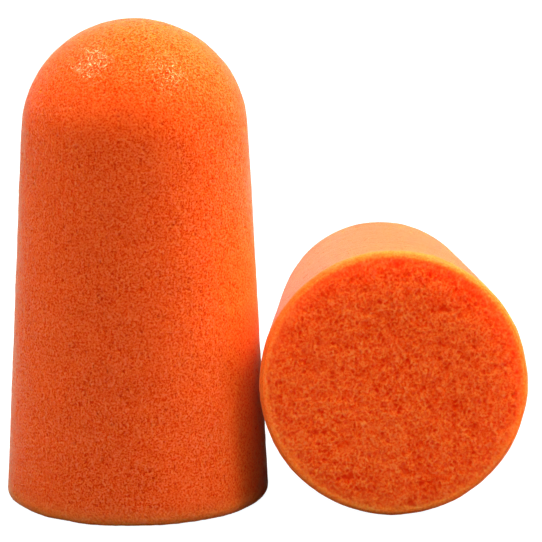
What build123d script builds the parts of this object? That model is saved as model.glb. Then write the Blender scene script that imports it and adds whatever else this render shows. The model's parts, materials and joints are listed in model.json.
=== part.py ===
"""A pair of bullet-shaped foam ear plugs: one standing on its cut end, one lying on its side.

Each plug is one moulded piece of slow-recovery polyurethane foam with nothing inside it: a flat
cut end, a side that tapers towards the ear, and a round nose. The two are loose, and alike.

Units are millimetres. The origin is the centre of the standing plug's cut end, on the table that
both plugs rest on. +Z is up, +X runs from the standing plug to the lying one, and the lying plug's
nose points along +Y.
"""

import os
from math import acos, atan2, cos, degrees, hypot, sin, tan

from build123d import *

# Driving dimensions of one plug.
LENGTH = 24.0  # cut end to the top of the nose
CUT_END_RADIUS = 6.6  # the plug's widest section
NOSE_RADIUS = 5.6

# How the pair lies on the table.
SETFORWARD = 4.3  # how far the lying plug's cut end is in front of the standing plug's axis
GAP = 0.1  # clear space where the two plugs come nearest

# What follows from those: the side is the tangent from the cut end's rim to the nose's ball.
NOSE_CENTRE = LENGTH - NOSE_RADIUS  # height of the nose ball's centre above the cut end
TAPER = acos(NOSE_RADIUS / hypot(CUT_END_RADIUS, NOSE_CENTRE)) - atan2(NOSE_CENTRE, CUT_END_RADIUS)


def side_radius(distance):
    """The plug's radius at a distance from its cut end, along the tapered side."""
    return CUT_END_RADIUS - distance * tan(TAPER)


def plug():
    """One plug, standing on its cut end at the origin, as a solid of revolution."""
    nose_start = (NOSE_RADIUS * cos(TAPER), NOSE_CENTRE + NOSE_RADIUS * sin(TAPER))
    cut_end = Line((0, 0), (CUT_END_RADIUS, 0))
    side = Line(cut_end @ 1, nose_start)
    nose = CenterArc((0, NOSE_CENTRE), NOSE_RADIUS, degrees(TAPER), 90 - degrees(TAPER))
    axis = Line(nose @ 1, (0, 0))
    half_section = make_face(Plane.XZ * Curve([cut_end, side, nose, axis]))
    return revolve(half_section, Axis.Z)


def standing_plug():
    return plug()


def lying_plug():
    """The same plug resting on its tapered side, nose away, beside the standing one.

    Level with the standing plug's axis the two sides come nearest, so their radii there and the
    gap set how far apart the plugs are.
    """
    radius_abreast = side_radius(SETFORWARD)
    spacing = radius_abreast + side_radius(radius_abreast) + GAP
    cut_end_height = CUT_END_RADIUS * cos(TAPER)
    on_its_side = Rot(X=-90 - degrees(TAPER))
    return Pos(spacing, -SETFORWARD, cut_end_height) * on_its_side * plug()


NODES = {
    "standing_plug": standing_plug,
    "lying_plug": lying_plug,
}

os.makedirs("parts", exist_ok=True)
for name, make in NODES.items():
    shape = make()
    shape.label = name
    export_step(shape, f"parts/{name}.step")
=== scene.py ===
"""The looks of a pair of bullet-shaped foam ear plugs, one standing and one lying on its side.

Each plug is one moulded piece of slow-recovery polyurethane foam. Its side and nose have the thin
satin skin that foam forms against a mould, with pinholes in it, and its cut end shows the open
cells inside. One plug is modelled in millimetres, copied, and the two are scaled and laid where
the frame has them. Units of the scene are metres.
"""

import json
from math import acos, atan2, cos, hypot, pi, radians, sin, tau

import bpy
import numpy as np
from mathutils import Matrix, Vector


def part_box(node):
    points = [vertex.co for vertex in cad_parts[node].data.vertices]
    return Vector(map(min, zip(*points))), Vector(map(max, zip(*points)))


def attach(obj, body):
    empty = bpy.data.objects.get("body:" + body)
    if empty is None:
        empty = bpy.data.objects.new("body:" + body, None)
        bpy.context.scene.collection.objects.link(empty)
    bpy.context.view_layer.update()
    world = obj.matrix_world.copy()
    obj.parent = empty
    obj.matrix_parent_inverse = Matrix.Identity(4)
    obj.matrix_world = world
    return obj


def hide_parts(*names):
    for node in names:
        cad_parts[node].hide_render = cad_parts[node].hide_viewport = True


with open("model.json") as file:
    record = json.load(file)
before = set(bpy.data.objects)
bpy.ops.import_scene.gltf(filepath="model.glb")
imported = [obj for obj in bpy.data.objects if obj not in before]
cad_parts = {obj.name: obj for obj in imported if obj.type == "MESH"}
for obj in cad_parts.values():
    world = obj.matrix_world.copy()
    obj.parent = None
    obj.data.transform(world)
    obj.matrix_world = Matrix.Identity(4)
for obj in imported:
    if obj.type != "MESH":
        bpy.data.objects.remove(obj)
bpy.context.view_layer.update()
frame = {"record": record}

MM = 0.001  # metres in a millimetre

# One plug, in millimetres. Its length and width are the frame's.
plug_low, plug_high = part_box("standing_plug")
LENGTH = (plug_high.z - plug_low.z) / MM
CUT_END_RADIUS = (plug_high.x - plug_low.x) / MM / 2
NOSE_RADIUS = 5.6
NOSE_CENTRE = LENGTH - NOSE_RADIUS
TAPER = acos(NOSE_RADIUS / hypot(CUT_END_RADIUS, NOSE_CENTRE)) - atan2(NOSE_CENTRE, CUT_END_RADIUS)

# How finely it is modelled.
NOSE_STEPS = 48
TURN_STEPS = 256
RIM_STEPS = 4
SKIN_FACE = 0.175  # width of a face on the skin
WHOLE_FACE = 0.7 * SKIN_FACE  # a narrower face gets no pinhole
CUT_FACE_SPLITS = 2  # cuts across each face of the cut end, to carry its cells
WEIGHT_STEPS = 16  # steps between no pattern and all of it, at the rim
JOIN = 0.0001  # points closer than this are one, and a point this low is on the floor
FACES_DOWN = -0.7  # a face whose normal is lower than this is on the cut end

# The foam's unevenness, in millimetres. A spacing is from one mark to the next.
SWELL = 1.6  # slow unevenness of the whole surface
SWELL_DEPTH = 0.06
RIPPLE = 0.4  # finer unevenness
RIPPLE_DEPTH = 0.03
CELL = 0.24  # the foam's cells, cut open
CELL_DEPTH = 0.07
CLUMP = 0.4  # higher and lower places that tearing leaves between cells
CLUMP_DEPTH = 0.07
VOID = 1.0  # the few larger voids
VOID_DEPTH = 0.08
CRUMB = 0.09  # crumbs of torn walls
CRUMB_DEPTH = 0.04

# Where its marks are, in millimetres.
RIM_ROUND = 0.4  # how far the soft edge of the cut end rounds off
RIM_FADE = 0.1  # how far the cells fade out on each side of where the edge starts to round
# Near the rim the foam gets a painted glow, standing for light that comes through its thin edge.
RIM_WIDTH = 1.1  # how far from the rim the foam is paler
CELLS_FULL = 0.02  # height up to which the cells are at full depth
CELLS_END = 0.12  # height at which they have faded out
PINHOLES_START = 0.3  # height from which the skin has pinholes
CUT_TOP = 0.6  # height that no face of the cut end reaches


# ---------------------------------------------------------------- modelling


def deselect_all():
    bpy.ops.object.select_all(action="DESELECT")


def edit(mesh_part="VERT"):
    bpy.ops.object.mode_set(mode="EDIT")
    bpy.ops.mesh.select_mode(type=mesh_part)


def object_mode():
    bpy.ops.object.mode_set(mode="OBJECT")


def rows(elements, measure):
    """The points' places, or the faces' centres or normals, as an array with one row each."""
    flat = np.empty(len(elements) * 3)
    elements.foreach_get(measure, flat)
    return flat.reshape(-1, 3)


def from_axis(places):
    return np.hypot(places[:, 0], places[:, 1])


def select_faces(piece, chosen):
    """Selects the faces where chosen is true and leaves the piece in edit mode."""
    edit("FACE")
    bpy.ops.mesh.select_all(action="DESELECT")
    object_mode()
    piece.data.polygons.foreach_set("select", chosen)
    bpy.ops.object.mode_set(mode="EDIT")


def turn_the_outline():
    """The plug as a plain turned shape: the nose's arc, the side and the cut end, spun about Z."""
    deselect_all()
    bpy.ops.mesh.primitive_plane_add(size=1)
    piece = bpy.context.object
    edit()
    bpy.ops.mesh.merge(type="CENTER")
    bpy.ops.transform.translate(value=(0, 0, LENGTH))
    nose_arc = pi / 2 - TAPER
    bpy.ops.mesh.spin(steps=NOSE_STEPS, angle=nose_arc, center=(0, 0, NOSE_CENTRE), axis=(0, -1, 0))
    nose_start = Vector((NOSE_RADIUS * cos(TAPER), 0, NOSE_CENTRE + NOSE_RADIUS * sin(TAPER)))
    rim = Vector((CUT_END_RADIUS, 0, 0))
    bpy.ops.mesh.extrude_region_move(TRANSFORM_OT_translate={"value": rim - nose_start})
    bpy.ops.mesh.extrude_region_move(TRANSFORM_OT_translate={"value": -rim})
    bpy.ops.mesh.select_all(action="SELECT")
    bpy.ops.mesh.spin(steps=TURN_STEPS, angle=tau, center=(0, 0, 0), axis=(0, 0, 1))
    bpy.ops.mesh.select_all(action="SELECT")
    bpy.ops.mesh.remove_doubles(threshold=JOIN)
    bpy.ops.mesh.normals_make_consistent(inside=False)
    bpy.ops.mesh.select_all(action="DESELECT")
    object_mode()
    points = rows(piece.data.vertices, "co")
    on_rim = (points[:, 2] < JOIN) & (from_axis(points) > CUT_END_RADIUS / 2)
    piece.data.vertices.foreach_set("select", on_rim)
    edit()
    bpy.ops.mesh.bevel(offset=RIM_ROUND, segments=RIM_STEPS)
    object_mode()
    return piece


def even_faces(piece):
    """Small square faces all over, and smaller ones on the cut end."""
    piece.data.remesh_voxel_size = SKIN_FACE
    bpy.ops.object.voxel_remesh()
    select_faces(piece, rows(piece.data.polygons, "normal")[:, 2] < FACES_DOWN)
    bpy.ops.mesh.subdivide(number_cuts=CUT_FACE_SPLITS)
    object_mode()


def smooth_step(value, start, end):
    share = np.clip((value - start) / (end - start), 0, 1)
    return share * share * (3 - 2 * share)


def pattern(name, kind, spacing, start=0, end=1, **settings):
    """A pattern whose value climbs from 0, where its own value is start, to 1 at end."""
    texture = bpy.data.textures.new(name, kind)
    texture.noise_scale = spacing
    for setting, value in settings.items():
        setattr(texture, setting, value)
    texture.use_color_ramp = True
    low, high = texture.color_ramp.elements
    low.position = start
    low.color = (0, 0, 0, 1)
    high.position = end
    high.color = (1, 1, 1, 1)
    return texture


def press(piece, texture, depth, level, group="", direction="NORMAL"):
    """Pushes the surface out by depth times the pattern's value less level."""
    modifier = piece.modifiers.new(texture.name, "DISPLACE")
    modifier.texture = texture
    modifier.strength = depth
    modifier.mid_level = level
    modifier.direction = direction
    modifier.vertex_group = group
    bpy.ops.object.modifier_apply(modifier=modifier.name)


def weigh(piece, name, weights):
    """A vertex group that says how strongly a pattern acts at each point."""
    group = piece.vertex_groups.new(name=name)
    for step in range(1, WEIGHT_STEPS + 1):
        members = np.flatnonzero(np.round(weights * WEIGHT_STEPS) == step)
        group.add(members.tolist(), step / WEIGHT_STEPS, "REPLACE")


def note(piece, name, values):
    """An attribute of the piece's points, which its materials read."""
    attribute = piece.data.attributes.new(name, "FLOAT", "POINT")
    attribute.data.foreach_set("value", values.astype(np.float32))


def open_cells(piece):
    """The foam's cells, cut open: shallow pits, a few larger voids, and crumbs of torn walls."""
    points = rows(piece.data.vertices, "co")
    across = from_axis(points)
    rounding = CUT_END_RADIUS - RIM_ROUND
    on_cut_end = 1 - smooth_step(points[:, 2], CELLS_FULL, CELLS_END)
    inside = 1 - smooth_step(across, rounding - RIM_FADE, rounding + RIM_FADE)
    weigh(piece, "inside", on_cut_end * inside)
    cells = pattern("cells", "VORONOI", CELL, start=0.05, end=0.25, weight_1=-1, weight_2=1)
    clumps = pattern("clumps", "CLOUDS", CLUMP, start=0.3, end=0.8, noise_depth=1)
    voids = pattern("voids", "VORONOI", VOID, start=0.08, end=0.22)
    crumbs = pattern("crumbs", "CLOUDS", CRUMB, start=0.3, end=0.8, noise_depth=0)
    # The cut end faces down, so pushing up along Z goes into the foam.
    press(piece, cells, CELL_DEPTH, 0, "inside", "Z")
    press(piece, clumps, CLUMP_DEPTH, 0, "inside", "Z")
    press(piece, voids, -VOID_DEPTH, 1, "inside", "Z")
    press(piece, crumbs, CRUMB_DEPTH, 0, "inside", "Z")
    depth = rows(piece.data.vertices, "co")[:, 2]
    note(piece, "pore", on_cut_end * np.clip(depth / (CELL_DEPTH + VOID_DEPTH), 0, 1))
    # How near each point is to the rim; the materials paint a glow there for light through the thin edge.
    from_rim = np.hypot(CUT_END_RADIUS - across, points[:, 2])
    note(piece, "near_rim", 1 - smooth_step(from_rim, 0, RIM_WIDTH))


def pinholes(piece, share, seed, wall, depth):
    """Pinholes in the skin: random faces drawn in by the wall and pushed into the foam."""
    height = rows(piece.data.polygons, "center")[:, 2]
    areas = np.empty(len(height))
    piece.data.polygons.foreach_get("area", areas)
    is_whole = areas > WHOLE_FACE**2
    chance = np.random.default_rng(seed).random(len(height))
    select_faces(piece, (height > PINHOLES_START) & is_whole & (chance < share))
    bpy.ops.mesh.inset(thickness=wall, depth=-depth, use_individual=True)
    object_mode()
    bottoms = np.empty(len(piece.data.vertices), bool)
    piece.data.vertices.foreach_get("select", bottoms)
    pore = np.empty(len(bottoms), np.float32)
    piece.data.attributes["pore"].data.foreach_get("value", pore)
    pore[bottoms] = 1
    piece.data.attributes["pore"].data.foreach_set("value", pore)


def foam_plug():
    piece = turn_the_outline()
    even_faces(piece)
    press(piece, pattern("swell", "CLOUDS", SWELL, noise_depth=1), SWELL_DEPTH, 0.5)
    press(piece, pattern("ripple", "CLOUDS", RIPPLE, noise_depth=2), RIPPLE_DEPTH, 0.5)
    open_cells(piece)
    pinholes(piece, share=0.06, seed=1, wall=0.06, depth=0.03)
    pinholes(piece, share=0.01, seed=2, wall=0.045, depth=0.05)
    return piece


plug = foam_plug()


# ---------------------------------------------------------------- materials

# Slow-recovery polyurethane foam lets light in a little way, red furthest, green half as far and
# blue least, which softens its shading. Its fine fibres catch light at the edges as a warm sheen.
RED_TRAVEL = 1.5 * MM
SHEEN = "#ffeabc"

# Marks drawn in the materials, by how many there are in a millimetre. Real foam's grain is finer,
# and is drawn as coarse as it needs to be to show.
MOTTLE = 0.45  # soft patches about 2 mm wide
SKIN_GRAIN = 10.5  # the skin's satin grain, about 0.1 mm wide
CUT_GRAIN = 9  # torn fibres of the cut end
PINPRICKS = 2  # spots that may have one

# The grain's height runs from 0 to 1, and most of it is between 0.3 and 0.7. Its colour follows its
# height, darker low and paler high: partly the foam's own grain, partly painted shade and light.
SKIN_GRAIN_DARK = 0.32  # the foam is darkest up to here
CUT_GRAIN_DARK = 0.3
GRAIN_PALE = 0.75  # and palest from here up
GLINT_START = 0.54  # crests start to catch the light
GLINT_FULL = 0.66
GRAIN_RELIEF = 0.025 * MM
DULLEST = 0.02  # specular level between the glints
SKIN_GLINT = 1.0  # and at the glints
CUT_GLINT = 0.7

SPECKLE_SHARE = 0.7  # how much of the skin's colour is speckle, the rest being mottle
# Share by which pinholes and pinpricks are mixed towards deep red: painted shade in them.
PINHOLE_PAINTED_SHADE = 0.45
PINPRICK_NONE = 0.5  # share of the spots without one big enough to see
PINPRICK_SMALLEST = 0.02  # radius, as a share of the spacing of the spots
PINPRICK_LARGEST = 0.3
# Deeper cells are mixed towards deep red: painted shade in them.
CELL_SHALLOW = 0.2  # depth of a cell, as a share of a deep one, at which it starts to redden
CELL_DEEP = 1.1  # and at which it would be wholly red
# Strength of the painted glow near the rim, standing for light through its thin edge.
RIM_PAINTED_GLOW = 0.22


def linear(colour):
    """An sRGB hex colour as linear red, green, blue and alpha."""
    channels = [int(colour[i : i + 2], 16) / 255 for i in (1, 3, 5)]
    return [c / 12.92 if c <= 0.04045 else ((c + 0.055) / 1.055) ** 2.4 for c in channels] + [1]


def add_node(tree, kind, inputs=None, **settings):
    """Adds a node with its settings. Each input is given a value, or another node's output to link."""
    node = tree.nodes.new(kind)
    for setting, value in settings.items():
        setattr(node, setting, value)
    for socket, value in (inputs or {}).items():
        if isinstance(value, bpy.types.NodeSocket):
            tree.links.new(value, node.inputs[socket])
        else:
            node.inputs[socket].default_value = value
    return node


def new_material(name):
    material = bpy.data.materials.new(name)
    material.use_nodes = True
    material.node_tree.nodes.clear()
    return material, material.node_tree


# Sockets of a Mix node that mixes colours.
COLOUR_A = 6
COLOUR_B = 7
COLOUR_OUT = 2


def foam_surface(tree, grain, colour, pit, brightest):
    """Foam of the given colour, with a painted glow near the rim for light through its thin edge, and
    glints on the grain's crests, not in pits.
    """
    # Painted glow: near the rim the colour is mixed towards pale orange, for light through the thin edge.
    near_rim = add_node(tree, "ShaderNodeAttribute", attribute_name="near_rim").outputs["Fac"]
    paling = {0: near_rim, 1: RIM_PAINTED_GLOW}
    paler = add_node(tree, "ShaderNodeMath", paling, operation="MULTIPLY").outputs["Value"]
    glow_mix = {"Factor": paler, COLOUR_A: colour, COLOUR_B: linear("#ffa548")}
    glowing_colour = add_node(tree, "ShaderNodeMix", glow_mix, data_type="RGBA").outputs[COLOUR_OUT]
    crests = {
        "Value": grain,
        "From Min": GLINT_START,
        "From Max": GLINT_FULL,
        "To Min": DULLEST,
        "To Max": brightest,
    }
    glint = add_node(tree, "ShaderNodeMapRange", crests).outputs["Result"]
    sound = add_node(tree, "ShaderNodeMath", {0: 1.0, 1: pit}, operation="SUBTRACT").outputs["Value"]
    gloss = add_node(tree, "ShaderNodeMath", {0: glint, 1: sound}, operation="MULTIPLY").outputs["Value"]
    relief = add_node(tree, "ShaderNodeBump", {"Height": grain, "Strength": 1.0, "Distance": GRAIN_RELIEF})
    foam = {
        "Base Color": glowing_colour,
        "Normal": relief.outputs["Normal"],
        "Specular IOR Level": gloss,
        "IOR": 1.5,
        "Roughness": 0.22,
        "Subsurface Weight": 1.0,
        "Subsurface Scale": RED_TRAVEL,
        "Subsurface Radius": (1.0, 0.5, 0.15),
        "Sheen Weight": 0.2,
        "Sheen Roughness": 0.25,
        "Sheen Tint": linear(SHEEN),
    }
    shader = add_node(tree, "ShaderNodeBsdfPrincipled", foam)
    add_node(tree, "ShaderNodeOutputMaterial", {"Surface": shader.outputs["BSDF"]})


def moulded_skin():
    """Foam skin formed against a mould: satin, finely grained and pricked with pinholes."""
    material, tree = new_material("moulded_polyurethane_foam_skin")
    place = add_node(tree, "ShaderNodeTexCoord").outputs["Object"]
    patches = {"Vector": place, "Scale": MOTTLE / MM, "Detail": 2}
    mottle = add_node(tree, "ShaderNodeTexNoise", patches).outputs["Fac"]
    satin = {"Vector": place, "Scale": SKIN_GRAIN / MM, "Detail": 1}
    grain = add_node(tree, "ShaderNodeTexNoise", satin).outputs["Fac"]
    # The grain's colour is darker in its hollows and paler on its crests, like its bump: partly the foam's
    # grain, partly painted shade and light.
    shades = {"Value": grain, "From Min": SKIN_GRAIN_DARK, "From Max": GRAIN_PALE}
    speckle = add_node(tree, "ShaderNodeMapRange", shades).outputs["Result"]
    oranges = {"Factor": mottle, COLOUR_A: linear("#e04a0c"), COLOUR_B: linear("#e64f0f")}
    even = add_node(tree, "ShaderNodeMix", oranges, data_type="RGBA").outputs[COLOUR_OUT]
    speckles = {"Factor": speckle, COLOUR_A: linear("#cc3303"), COLOUR_B: linear("#f37c32")}
    speckled = add_node(tree, "ShaderNodeMix", speckles, data_type="RGBA").outputs[COLOUR_OUT]
    both = {"Factor": SPECKLE_SHARE, COLOUR_A: even, COLOUR_B: speckled}
    body = add_node(tree, "ShaderNodeMix", both, data_type="RGBA").outputs[COLOUR_OUT]

    # Pinpricks too fine for the mesh: soft dots of all sizes, at some spots of a cell pattern, drawn as
    # painted shade.
    spots = add_node(tree, "ShaderNodeTexVoronoi", {"Vector": place, "Scale": PINPRICKS / MM})
    chance = add_node(tree, "ShaderNodeSeparateColor", {"Color": spots.outputs["Color"]}).outputs["Red"]
    sizes = {
        "Value": chance,
        "From Min": PINPRICK_NONE,
        "To Min": PINPRICK_SMALLEST,
        "To Max": PINPRICK_LARGEST,
    }
    radius = add_node(tree, "ShaderNodeMapRange", sizes).outputs["Result"]
    fading = {
        "Value": spots.outputs["Distance"],
        "From Min": 0.0,
        "From Max": radius,
        "To Min": 1.0,
        "To Max": 0.0,
    }
    pinprick = add_node(tree, "ShaderNodeMapRange", fading).outputs["Result"]
    pinhole = add_node(tree, "ShaderNodeAttribute", attribute_name="pore").outputs["Fac"]
    holes = {0: pinprick, 1: pinhole}
    pit = add_node(tree, "ShaderNodeMath", holes, operation="MAXIMUM").outputs["Value"]
    # Painted shade: pinholes and pinpricks are mixed towards deep red, as the shade inside them.
    darkness = {0: pit, 1: PINHOLE_PAINTED_SHADE}
    how_dark = add_node(tree, "ShaderNodeMath", darkness, operation="MULTIPLY").outputs["Value"]
    painted_pit_shade = {"Factor": how_dark, COLOUR_A: body, COLOUR_B: linear("#c42000")}
    colour = add_node(tree, "ShaderNodeMix", painted_pit_shade, data_type="RGBA").outputs[COLOUR_OUT]
    foam_surface(tree, grain, colour, pit, SKIN_GLINT)
    return material


def cut_cells():
    """Foam cut open: torn walls, paler on the grain's crests partly as painted light, with glints there,
    and deeper cells darkened to red as painted shade.
    """
    material, tree = new_material("cut_open_cell_polyurethane_foam")
    place = add_node(tree, "ShaderNodeTexCoord").outputs["Object"]
    fibres = {"Vector": place, "Scale": CUT_GRAIN / MM, "Detail": 1}
    grain = add_node(tree, "ShaderNodeTexNoise", fibres).outputs["Fac"]
    # The grain's colour is darker in its hollows and paler on its crests, like its bump: partly the foam's
    # grain, partly painted shade and light.
    shades = {"Value": grain, "From Min": CUT_GRAIN_DARK, "From Max": GRAIN_PALE}
    speckle = add_node(tree, "ShaderNodeMapRange", shades).outputs["Result"]
    walls = {"Factor": speckle, COLOUR_A: linear("#f04604"), COLOUR_B: linear("#ff8434")}
    wall = add_node(tree, "ShaderNodeMix", walls, data_type="RGBA").outputs[COLOUR_OUT]
    pore = add_node(tree, "ShaderNodeAttribute", attribute_name="pore").outputs["Fac"]
    # Painted shade: the deeper a cell, the more its colour is mixed towards deep red.
    depths = {"Value": pore, "From Min": CELL_SHALLOW, "From Max": CELL_DEEP}
    pit = add_node(tree, "ShaderNodeMapRange", depths).outputs["Result"]
    cell_shading = {"Factor": pit, COLOUR_A: wall, COLOUR_B: linear("#e63000")}
    colour = add_node(tree, "ShaderNodeMix", cell_shading, data_type="RGBA").outputs[COLOUR_OUT]
    foam_surface(tree, grain, colour, pit, CUT_GLINT)
    return material


def dress(piece):
    """The cut end gets the open cells, out to halfway round its soft edge, and the rest the skin."""
    piece.data.materials.append(moulded_skin())
    piece.data.materials.append(cut_cells())
    middles = rows(piece.data.polygons, "center")
    is_cut = (middles[:, 2] < CUT_TOP) & (from_axis(middles) < CUT_END_RADIUS - RIM_ROUND / 2)
    piece.data.polygons.foreach_set("material_index", is_cut.astype(np.int32))


dress(plug)


# ---------------------------------------------------------------- the pair

# The lying plug is turned about its own axis, so that the two don't show the same marks.
OWN_TURN = radians(137)


def mount(name):
    found = next(m for m in frame["record"]["mounts"] if m["name"] == name)
    return Vector(found["pos_m"]), Vector(found["axis"])


def finish_plug(piece, name, place, body, node):
    piece.name = name
    piece.data.name = name
    piece.data.transform(place)
    deselect_all()
    piece.select_set(True)
    bpy.context.view_layer.objects.active = piece
    bpy.ops.object.shade_smooth()
    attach(piece, body)
    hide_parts(node)


lying = plug.copy()
lying.data = plug.data.copy()
bpy.context.collection.objects.link(lying)
to_metres = Matrix.Scale(MM, 4)
cut_end, outward = mount("lying_cut_end")
lean = atan2(outward.z, -outward.y)
# The nose points along +Y and down by the taper: turn about X by -90 degrees less that.
on_its_side = Matrix.Translation(cut_end) @ Matrix.Rotation(-pi / 2 - lean, 4, "X")
lying_place = on_its_side @ to_metres @ Matrix.Rotation(OWN_TURN, 4, "Z")
finish_plug(plug, "standing_plug_foam", to_metres, "standing_plug", "standing_plug")
finish_plug(lying, "lying_plug_foam", lying_place, "lying_plug", "lying_plug")


# ---------------------------------------------------------------- stage

# The floor is seen as grey paper that glows to white, and gives the plugs back the light of a grey.
FLOOR_SIZE = 2.0
FLOOR_SEEN = "#606060"
FLOOR_GLOW = 1.0
FLOOR_BOUNCE = "#727272"

# The room is dim on the camera's side of the plugs and brighter on the far side.
ROOM_DIM = 0.03
ROOM_BRIGHT = 0.55
DIM_SIDE = -0.8  # how far along Y a direction points
BRIGHT_SIDE = 0.6

BETWEEN_PLUGS = Vector((0.006, 0, 0.012))
SOFTBOX_DISTANCE = 0.5
WARM = "#ffebb3"

# The camera looks slightly down along Y. Lens and sensor are in millimetres, as Blender has them.
SENSOR_WIDTH = 36
LENS = 188.8
CAMERA_PLACE = Vector((6.728, -139.083, 39.496)) * MM
LOOKS_DOWN = radians(11.426)
NEAREST_SEEN = 0.01


def paper_sweep():
    """White paper sweep: the camera sees it lit to white, and the plugs get back some of its light."""
    material, tree = new_material("white_paper_sweep")
    paper = {
        "Base Color": linear(FLOOR_SEEN),
        "Roughness": 0.9,
        "Emission Color": linear("#ffffff"),
        "Emission Strength": FLOOR_GLOW,
    }
    lit = add_node(tree, "ShaderNodeBsdfPrincipled", paper)
    dim = add_node(tree, "ShaderNodeBsdfDiffuse", {"Color": linear(FLOOR_BOUNCE)})
    seen = add_node(tree, "ShaderNodeLightPath").outputs["Is Camera Ray"]
    either = {0: seen, 1: dim.outputs["BSDF"], 2: lit.outputs["BSDF"]}
    shader = add_node(tree, "ShaderNodeMixShader", either)
    add_node(tree, "ShaderNodeOutputMaterial", {"Surface": shader.outputs["Shader"]})
    return material


def softbox(name, toward, size, power, shows):
    """A square softbox that faces the plugs. Only a warm one shows as a highlight on them."""
    light = bpy.data.lights.new(name, "AREA")
    light.size = size
    light.energy = power
    lamp = bpy.data.objects.new(name, light)
    bpy.context.collection.objects.link(lamp)
    direction = Vector(toward).normalized()
    lamp.location = BETWEEN_PLUGS + direction * SOFTBOX_DISTANCE
    lamp.rotation_euler = direction.to_track_quat("Z", "Y").to_euler()
    lamp.visible_glossy = shows
    if shows:
        light.color = linear(WARM)[:3]


deselect_all()
bpy.ops.mesh.primitive_plane_add(size=FLOOR_SIZE, location=(0, 0, 0))
floor = bpy.context.object
floor.name = "floor"
floor.data.materials.append(paper_sweep())

world = bpy.data.worlds.new("studio")
bpy.context.scene.world = world
world.use_nodes = True
tree = world.node_tree
direction = add_node(tree, "ShaderNodeTexCoord").outputs["Generated"]
forward = add_node(tree, "ShaderNodeSeparateXYZ", {"Vector": direction}).outputs["Y"]
room = {
    "Value": forward,
    "From Min": DIM_SIDE,
    "From Max": BRIGHT_SIDE,
    "To Min": ROOM_DIM,
    "To Max": ROOM_BRIGHT,
}
strength = add_node(tree, "ShaderNodeMapRange", room).outputs["Result"]
background = tree.nodes["Background"]
background.inputs["Color"].default_value = linear("#ffffff")
tree.links.new(strength, background.inputs["Strength"])

softbox("overhead", toward=(0, 0, 1), size=0.4, power=3.8, shows=False)
softbox("overhead_left", toward=(-0.5, 0.13, 0.85), size=0.09, power=1.3, shows=True)
softbox("overhead_right", toward=(0.5, -0.14, 0.855), size=0.1, power=1.5, shows=True)
softbox("right", toward=(0.72, 0.3, 0.62), size=0.3, power=3.6, shows=False)
softbox("low_right", toward=(0.81, 0.085, 0.57), size=0.2, power=1.2, shows=False)
softbox("front", toward=(-0.3, -0.9, 0.3), size=0.2, power=0.85, shows=False)

camera_data = bpy.data.cameras.new("camera")
camera = bpy.data.objects.new("camera", camera_data)
bpy.context.collection.objects.link(camera)
camera_data.sensor_width = SENSOR_WIDTH
camera_data.lens = LENS
camera_data.clip_start = NEAREST_SEEN
camera.location = CAMERA_PLACE
camera.rotation_euler = (pi / 2 - LOOKS_DOWN, 0, 0)
bpy.context.scene.camera = camera
bpy.context.scene.view_settings.view_transform = "Standard"
